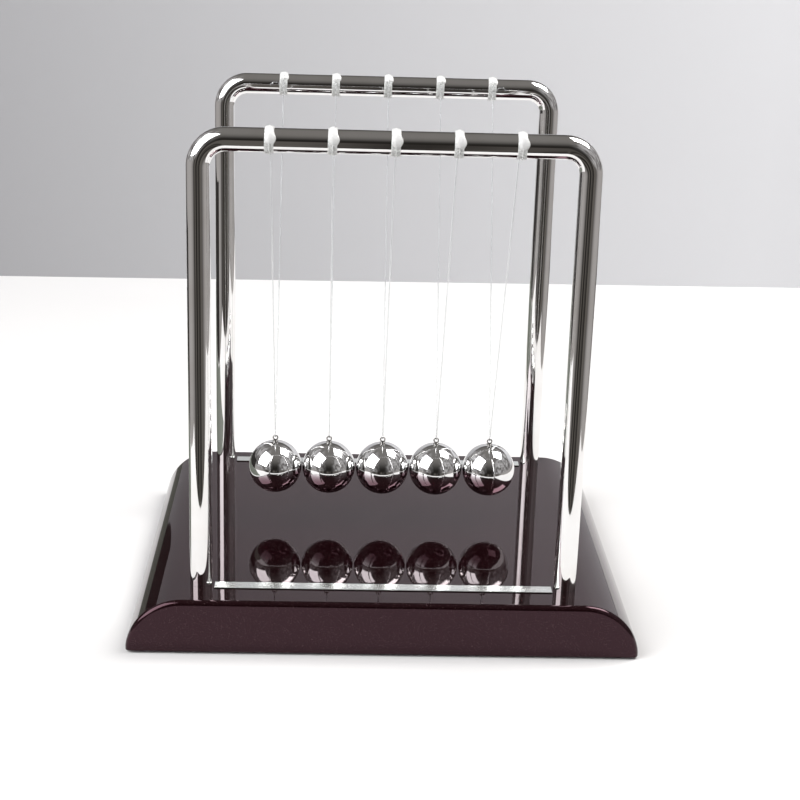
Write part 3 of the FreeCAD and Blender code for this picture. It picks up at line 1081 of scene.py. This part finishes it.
@dataclass
class Windings:
    """Line wound on one bar: five coils, each with a glued last turn and a bead of glue."""

    layout: Layout
    side: Side
    line_radius: float = 0.225 * MM
    turns: int = 7
    pitch: float = 0.5 * MM
    glue_coat: float = 0.055 * MM
    clearance: float = 0.03 * MM
    leave: float = math.radians(24.64)
    glued_sweep: float = math.radians(290.0)

    @property
    def glued_arc(self) -> tuple[float, float]:
        """Where the glue starts and ends round the bar, in degrees from straight up towards the balls."""
        return (-100.0, 54.0) if self.side is Side.FRONT else (-62.0, 57.0)

    @property
    def last_turn_radius(self) -> float:
        """Middle of the last turn, which lies on the others."""
        return self.layout.rod_radius + 3.0 * self.line_radius + self.clearance

    def around(self, radius: float, turn: float, x: float = 0.0) -> Vector:
        """A point round the bar, counted from straight up towards the balls."""
        return Vector((x, self.side.inward * radius * math.sin(turn), radius * math.cos(turn)))

    def glued_turn(self) -> bpy.types.Mesh:
        """The last turn about the origin, from just above where the line leaves, back round the bar.

        Returns:
            Its mesh.
        """
        radius = self.last_turn_radius
        gap = 2.0 * self.line_radius + self.glue_coat + self.clearance
        start = math.pi / 2.0 - self.leave - gap / radius
        steps = 72
        sunk = self.layout.rod_radius + 2.0 * self.line_radius
        path = []
        for step in range(steps + 1):
            share = min(1.0, step / (0.2 * steps))
            reach = radius + (sunk - radius) * share * share * (3.0 - 2.0 * share)
            path.append(self.around(reach, start - self.glued_sweep * step / steps))
        form = bmesh.new()
        tube(form, path, self.line_radius + self.glue_coat, 12, Vector((1.0, 0.0, 0.0)))
        return smooth(mesh_from(form, "glued_turn"))

    def bead(self) -> bpy.types.Mesh:
        """A saddle of set glue over one coil, thick along the last turn and bulging to one side.

        Returns:
            Its mesh about the origin.
        """
        along, round_steps = 20, 36
        first, last = (math.radians(angle) for angle in self.glued_arc)
        bulge_turn = math.radians(-72.0 if self.side is Side.FRONT else 42.0)
        floor = self.layout.rod_radius + self.line_radius
        half = self.turns * self.pitch / 2.0 - 0.30 * MM
        rows = []
        for i in range(round_steps + 1):
            u = 2.0 * i / round_steps - 1.0
            turn = first + (last - first) * i / round_steps
            fade = max(0.0, 1.0 - u ** 8) ** 0.5
            swell = math.exp(-((turn - bulge_turn) / 0.42) ** 2)
            width = half * (0.72 + 0.28 * fade) + 0.10 * MM * math.sin(7.0 * u)
            outer, inner = [], []
            for j in range(along + 1):
                v = 2.0 * j / along - 1.0
                x = v * (width + max(v, 0.0) * 0.65 * MM * swell)
                edge = max(0.0, 1.0 - v ** 4) ** 0.5
                ridge = 0.20 * math.exp(-(v / 0.50) ** 2)
                lump = 1.0 + 0.08 * math.sin(4.3 * v + 5.1 * u) + 0.25 * swell * max(v, 0.0)
                outer.append(self.around(floor + (0.36 * edge + ridge) * lump * fade * MM, turn, x))
                inner.append(self.around(floor - 0.02 * MM, turn, x))
            rows.append(outer + list(reversed(inner)))
        form = bmesh.new()
        loft(form, rows)
        return smooth(mesh_from(form, "bead"), math.radians(70.0))

    def build(self) -> None:
        """Makes the coils and the beads of glue on this bar."""
        layout, prefix = self.layout, self.side.prefix
        centre = Vector((0.0, self.side.bar_y(layout), layout.bar_z))
        span = layout.ball_x[-1] - layout.ball_x[0]
        count = len(layout.ball_x)
        coil = {"Turns": float(self.turns), "Turn Radius": layout.rod_radius + self.line_radius,
                "Coil Length": self.turns * self.pitch - 2.0 * self.line_radius,
                "Line Radius": self.line_radius}
        wound = repeated(f"{prefix}_windings", self.glued_turn(), centre, Rows(count, 1, span, 0.0),
                         Material.WOUND.made(), coil)
        place(f"{prefix}_windings", smooth(wound), "stand", Material.WOUND,
              [f"{prefix}_winding_{n}" for n in range(1, count + 1)])
        beads = repeated(f"{prefix}_glue_beads", self.bead(), centre,
                         Rows(count, 1, span, 0.0, uneven=0.012, seed=11),
                         Material.GLUE.made())
        place(f"{prefix}_glue_beads", smooth(beads, math.radians(70.0)), "stand", Material.GLUE, [])


@dataclass
class LineTail:
    """A short curled end of line beside an outer coil on the rear bar."""

    layout: Layout
    node: str
    line_radius: float = 0.225 * MM
    steps: int = 28

    def build(self) -> None:
        """Makes the curl in the space of its node."""
        low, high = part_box(self.node)
        outward = 1.0 if low.x > 0.0 else -1.0
        inner = low.x if outward > 0.0 else high.x
        width = high.x - low.x
        radius = (width - self.line_radius) / 2.0
        y = (low.y + high.y) / 2.0
        centre = Vector((inner + outward * radius, y, self.layout.bar_z))
        path = []
        for step in range(self.steps + 1):
            turn = math.pi * step / self.steps
            swell = 1.0 - 0.18 * math.sin(turn) ** 2
            path.append(centre + Vector((-outward * radius * math.cos(turn), 0.0,
                                         radius * math.sin(turn) * swell)))
        form = bmesh.new()
        tube(form, path, self.line_radius, 12, Vector((0.0, 1.0, 0.0)))
        place(self.node.replace("rear_", "curled_"), smooth(mesh_from(form, "curl")), "stand",
              Material.LINE, [self.node])


# --------------------------------------------------------------------------- the pendulums


@dataclass
class Pendulum:
    """One ball with its eye and its V of line."""

    layout: Layout
    number: int
    collar_radius: float = 1.1 * MM
    collar_height: float = 0.5 * MM
    collar_round: float = 0.25 * MM
    stud_radius: float = 0.6 * MM
    stud_depth: float = 2.5 * MM
    ring_radius: float = 0.85 * MM
    wire_radius: float = 0.275 * MM
    ring_sunk: float = 0.1 * MM
    line_radius: float = 0.225 * MM
    wrap_radius: float = 0.49 * MM
    ball_rings: int = 72
    ball_sides: int = 128

    @property
    def body(self) -> str:
        """The CAD body that it all rides on."""
        return f"pendulum_{self.number}"

    @property
    def centre(self) -> Vector:
        """Middle of the ball."""
        return Vector((self.layout.ball_x[self.number - 1], self.layout.mid_y, self.layout.ball_z))

    @property
    def spot(self) -> float:
        """Height of the ball's small flat above its middle."""
        return math.sqrt(self.layout.ball_radius ** 2 - self.collar_radius ** 2)

    def ball(self) -> bpy.types.Mesh:
        """The ball: a sphere with a small flat on top and a bore for the eye.

        Returns:
            Its mesh.
        """
        radius = self.layout.ball_radius
        last = math.asin(self.spot / radius)
        profile = [(0.0, -radius)]
        for step in range(1, self.ball_rings + 1):
            turn = -math.pi / 2.0 + (last + math.pi / 2.0) * step / self.ball_rings
            profile.append((radius * math.cos(turn), radius * math.sin(turn)))
        floor = self.spot - self.stud_depth
        profile += [(self.stud_radius, self.spot), (self.stud_radius, floor), (0.0, floor)]
        form = bmesh.new()
        lathe(form, profile, self.centre, self.ball_sides)
        return smooth(mesh_from(form, "ball"))

    def eye(self) -> bpy.types.Mesh:
        """The eye: a stud in the ball, a rounded collar on it, and a ring of wire.

        Returns:
            Its mesh.
        """
        base, top = self.spot, self.spot + self.collar_height
        curve = [(self.collar_radius - self.collar_round * (1.0 - math.cos(t)),
                  top - self.collar_round * (1.0 - math.sin(t)))
                 for t in (math.pi / 2.0 * k / 6 for k in range(7))]
        stud = bmesh.new()
        lathe(stud, [(0.0, base - self.stud_depth), (self.stud_radius, base - self.stud_depth),
                     (self.stud_radius, base), (self.collar_radius, base), *curve, (0.0, top)],
              self.centre, 48)
        ring_z = top + self.wire_radius + self.ring_radius - self.ring_sunk
        middle = self.centre + Vector((0.0, 0.0, ring_z))
        ring = bmesh.new()
        rows, turns = [], 48
        for step in range(turns):
            a = math.tau * step / turns
            out = Vector((math.cos(a), 0.0, math.sin(a)))
            row = []
            for k in range(20):
                b = math.tau * k / 20
                point = middle + out * (self.ring_radius + self.wire_radius * math.cos(b))
                row.append(ring.verts.new(point + Vector((0.0, self.wire_radius * math.sin(b), 0.0))))
            rows.append(row)
        for step in range(turns):
            near, far = rows[step], rows[(step + 1) % turns]
            for k in range(20):
                ring.faces.new((near[k], near[(k + 1) % 20], far[(k + 1) % 20], far[k]))
        joined = cut(mesh_from(stud, "stud"), [mesh_from(ring, "ring")], "UNION")
        return smooth(joined, math.radians(40.0))

    def line(self) -> bpy.types.Mesh:
        """The line: two straight runs and the small bend under the ring's wire.

        Returns:
            Its mesh.
        """
        low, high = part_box(f"line_{self.number}")
        reach = (high.y - low.y) / 2.0 - self.line_radius
        top = high.z - self.line_radius
        wrap_z = low.z + self.wrap_radius + self.line_radius
        rise = top - wrap_z
        slope = math.atan2(reach, rise) + math.asin(self.wrap_radius / math.hypot(reach, rise)) * -1.0
        corner = wrap_z - self.wrap_radius / math.sin(slope)
        x, y = self.centre.x, self.layout.mid_y
        corners = [Vector((x, y - reach, top)), Vector((x, y, corner)), Vector((x, y + reach, top))]
        return bent_rod(f"{self.body}_line", corners, self.line_radius, self.wrap_radius, 12, 12,
                        Material.LINE.made())

    def build(self) -> None:
        """Makes the ball, its eye and its line on their body."""
        place(f"mirror_ball_{self.number}", self.ball(), self.body, Material.BALL, [f"ball_{self.number}"])
        place(f"ring_eye_{self.number}", self.eye(), self.body, Material.EYE, [f"eye_{self.number}"])
        place(f"hanging_line_{self.number}", smooth(self.line()), self.body, Material.LINE,
              [f"line_{self.number}"])


# --------------------------------------------------------------------------- stage, light and camera


@dataclass(frozen=True)
class Room:
    """A plain dim room, lighter at its sides and overhead; the camera sees plain pale grey."""

    dark: Colour = (0.02, 0.018, 0.016)
    dim: Colour = (0.12, 0.11, 0.10)
    side_light: Colour = (0.40, 0.38, 0.37)
    overhead: Colour = (0.20, 0.19, 0.18)
    sides: Colour = (0.150, 0.140, 0.138)
    glow: Colour = (0.560, 0.550, 0.550)
    backdrop: Colour = (0.640, 0.640, 0.655)
    cloud_scale: float = 4.5
    furniture_scale: float = 3.0

    def build(self) -> None:
        """Makes the world: soft patches round the horizon, lighter sides, and a soft ceiling."""
        world = bpy.data.worlds.new("dim_room")
        world.use_nodes = True
        nodes, links = world.node_tree.nodes, world.node_tree.links
        background = nodes["Background"]
        direction = nodes.new("ShaderNodeTexCoord").outputs["Generated"]
        height = nodes.new("ShaderNodeSeparateXYZ")
        links.new(direction, height.inputs[0])

        def mixed(share: bpy.types.NodeSocket, first: object, second: object) -> bpy.types.NodeSocket:
            """A mix of two colours or colour sockets."""
            node = nodes.new("ShaderNodeMix")
            node.data_type = "RGBA"
            links.new(share, node.inputs["Factor"])
            for label, value in ((6, first), (7, second)):
                if isinstance(value, bpy.types.NodeSocket):
                    links.new(value, node.inputs[label])
                else:
                    node.inputs[label].default_value = (*value, 1.0)
            return node.outputs[2]

        def ranged(value: bpy.types.NodeSocket, low: float, high: float) -> bpy.types.NodeSocket:
            """A value eased from 0 to 1 between two limits."""
            node = nodes.new("ShaderNodeMapRange")
            node.interpolation_type = "SMOOTHSTEP"
            node.inputs["From Min"].default_value = low
            node.inputs["From Max"].default_value = high
            links.new(value, node.inputs["Value"])
            return node.outputs["Result"]

        def noise(vector: bpy.types.NodeSocket, scale: float, detail: float) -> bpy.types.NodeSocket:
            """Soft patches over the directions given."""
            node = nodes.new("ShaderNodeTexNoise")
            node.inputs["Scale"].default_value = scale
            node.inputs["Detail"].default_value = detail
            links.new(vector, node.inputs["Vector"])
            return node.outputs["Fac"]

        away = nodes.new("ShaderNodeMath")
        away.operation = "ABSOLUTE"
        links.new(height.outputs["X"], away.inputs[0])
        clouds = noise(direction, self.cloud_scale, 3.0)
        wide = mixed(ranged(clouds, 0.38, 0.66), self.sides, self.glow)
        level = nodes.new("ShaderNodeCombineXYZ")
        links.new(height.outputs["X"], level.inputs["X"])
        links.new(height.outputs["Y"], level.inputs["Y"])
        heading = nodes.new("ShaderNodeVectorMath")
        heading.operation = "NORMALIZE"
        links.new(level.outputs[0], heading.inputs[0])
        furniture = noise(heading.outputs[0], self.furniture_scale, 2.0)
        stripes = mixed(ranged(furniture, 0.40, 0.60), self.dark, self.dim)
        low = mixed(ranged(away.outputs[0], 0.50, 0.98), stripes, self.side_light)
        high = mixed(ranged(height.outputs["Z"], 0.15, 1.0), self.dark, self.overhead)
        ceiling = mixed(ranged(away.outputs[0], 0.12, 0.70), high, wide)
        room = mixed(ranged(height.outputs["Z"], -0.06, 0.03), low, ceiling)
        path = nodes.new("ShaderNodeLightPath")
        links.new(mixed(path.outputs["Is Camera Ray"], room, self.backdrop), background.inputs["Color"])
        bpy.context.scene.world = world


@dataclass
class Studio:
    """Floor, wall, soft lights and the camera."""

    reach: float = 3.0
    table_low: tuple[float, float] = (-0.265, -0.185)
    table_high: tuple[float, float] = (0.270, 0.435)
    wall_left: Point = (-0.340, 0.4328, 0.0)
    wall_right: Point = (0.900, 0.4644, 0.0)
    wall_height: float = 0.30
    # range of X over which painted shade darkens the wall towards the left
    wall_painted_shade_range: tuple[float, float] = (-0.25, 0.25)
    card_lift: float = 0.0008
    grey_card: tuple[tuple[float, float], ...] = ((-0.26, 0.0), (-0.112, -0.03), (-0.100, 0.40),
                                                  (-0.26, 0.40))
    dark_card_gap: float = 0.003
    dark_card_ends: tuple[float, float] = (0.02, 0.43)
    dark_card_height: float = 0.10
    aim: Point = (0.0, 0.0, 0.04)
    windows: tuple[tuple[str, Point, tuple[float, float], float, Colour], ...] = (
        ("window_left", (-0.85, -0.475, 0.775), (1.02, 1.12), 20.5, (0.985, 0.99, 1.0)),
        ("window_right", (0.55, 0.13, 0.94), (0.60, 0.55), 11.0, (1.0, 0.99, 0.98)),
    )
    lens: float = 76.42
    spot: Point = (-0.016756, -0.60991, 0.275795)
    yaw: float = math.radians(2.138)
    pitch: float = math.radians(-18.658)
    roll: float = math.radians(1.779)

    def plane(self, name: str, corners: list[Point], material: bpy.types.Material) -> bpy.types.Object:
        """Adds a flat piece of stage.

        Args:
            name: Its name.
            corners: Its corners, counter-clockwise as seen from its front.
            material: Its paint.

        Returns:
            The stage piece.
        """
        mesh = bpy.data.meshes.new(name)
        mesh.from_pydata(corners, [], [tuple(range(len(corners)))])
        mesh.materials.append(material)
        piece = link_object(name, mesh)
        return piece

    def surroundings(self) -> None:
        """Adds the floor, whose far part bright metal doesn't mirror, and the wall behind it, with painted
        shade darkening the wall towards the left.
        """
        paint = StagePaint("floor_paint", (0.72, 0.714, 0.710), (0.69, 0.684, 0.682)).material()
        reach, (left, near), (right, far) = self.reach, self.table_low, self.table_high
        fields = {"floor": (left, near, right, far), "floor_rest_1": (-reach, -reach, reach, near),
                  "floor_rest_2": (-reach, far, reach, reach), "floor_rest_3": (-reach, near, left, far),
                  "floor_rest_4": (right, near, reach, far)}
        for name, (x0, y0, x1, y1) in fields.items():
            field = self.plane(name, [(x0, y0, 0.0), (x1, y0, 0.0), (x1, y1, 0.0), (x0, y1, 0.0)], paint)
            field.visible_glossy = name == "floor"
        # painted shade: the wall's paint is darker at the left and lighter at the right, standing in for
        # light falling off
        wall = StagePaint("wall_paint", (0.305, 0.303, 0.312), (0.600, 0.602, 0.618), self.wall_painted_shade_range, True)
        up = Vector((0.0, 0.0, self.wall_height))
        low_left, low_right = Vector(self.wall_left), Vector(self.wall_right)
        corners = [tuple(point) for point in (low_left, low_right, low_right + up, low_left + up)]
        self.plane("wall", corners, wall.material())
        self.cards()

    def cards(self) -> None:
        """Adds a grey and a dark card at the left, which only reflections see."""
        grey = StagePaint("grey_card_paint", (0.10, 0.11, 0.09), (0.13, 0.14, 0.12)).material()
        dark = StagePaint("dark_card_paint", (0.015, 0.013, 0.012), (0.03, 0.027, 0.025)).material()
        x = self.table_low[0] - self.dark_card_gap
        (near, far), top = self.dark_card_ends, self.dark_card_height
        cards = (self.plane("card_on_table", [(*corner, self.card_lift) for corner in self.grey_card], grey),
                 self.plane("card_left", [(x, near, 0.0), (x, far, 0.0), (x, far, top), (x, near, top)],
                            dark))
        for card in cards:
            card.visible_camera = False
            card.visible_diffuse = False
            card.visible_shadow = False
            card.visible_transmission = False

    def area_light(self, name: str, spot: Point, aim: Point, size: tuple[float, float], power: float,
                   colour: Colour) -> None:
        """Adds a soft rectangular light.

        Args:
            name: Its name.
            spot: Where it stands.
            aim: What it points at.
            size: Its width and height.
            power: Its power in watts.
            colour: Its colour.
        """
        data = bpy.data.lights.new(name, "AREA")
        data.shape = "RECTANGLE"
        data.size, data.size_y = size
        data.energy = power
        data.color = colour
        light = bpy.data.objects.new(name, data)
        light.location = spot
        light.rotation_mode = "QUATERNION"
        light.rotation_quaternion = (Vector(aim) - Vector(spot)).to_track_quat("-Z", "Y")
        bpy.context.scene.collection.objects.link(light)

    def lights(self) -> None:
        """Adds a large soft light at the left, a smaller one over the right, and the room."""
        for name, spot, size, power, colour in self.windows:
            self.area_light(name, spot, self.aim, size, power, colour)
        Room().build()

    def camera(self) -> None:
        """Adds the camera."""
        forward = Vector((math.sin(self.yaw) * math.cos(self.pitch),
                          math.cos(self.yaw) * math.cos(self.pitch),
                          math.sin(self.pitch)))
        level = Vector((math.cos(self.yaw), -math.sin(self.yaw), 0.0))
        upright = level.cross(forward)
        right = level * math.cos(self.roll) + upright * math.sin(self.roll)
        up = upright * math.cos(self.roll) - level * math.sin(self.roll)
        data = bpy.data.cameras.new("camera")
        data.lens = self.lens
        data.sensor_width = 36.0
        data.clip_start, data.clip_end = 0.01, 20.0
        camera = bpy.data.objects.new("camera", data)
        rows = Matrix((right, up, -forward)).transposed()
        camera.matrix_world = Matrix.Translation(self.spot) @ rows.to_4x4()
        bpy.context.scene.collection.objects.link(camera)
        bpy.context.scene.camera = camera

    def build(self) -> None:
        """Sets the stage, the lights, the camera and how light becomes colour."""
        self.surroundings()
        self.lights()
        self.camera()
        bpy.context.scene.view_settings.view_transform = "Standard"
        bpy.context.scene.view_settings.look = "None"


def main() -> None:
    """Builds the cradle and its stage."""
    logging.basicConfig(level=logging.INFO, format="%(name)s: %(message)s")
    layout = Layout.read()
    Studio().build()
    Base(layout).build()
    for side in Side:
        RodFrame(layout, side).build()
        Windings(layout, side).build()
    for node in ("rear_tail_left", "rear_tail_right"):
        LineTail(layout, node).build()
    for number in range(1, len(layout.ball_x) + 1):
        Pendulum(layout, number).build()


if __name__ == "__main__":
    main()
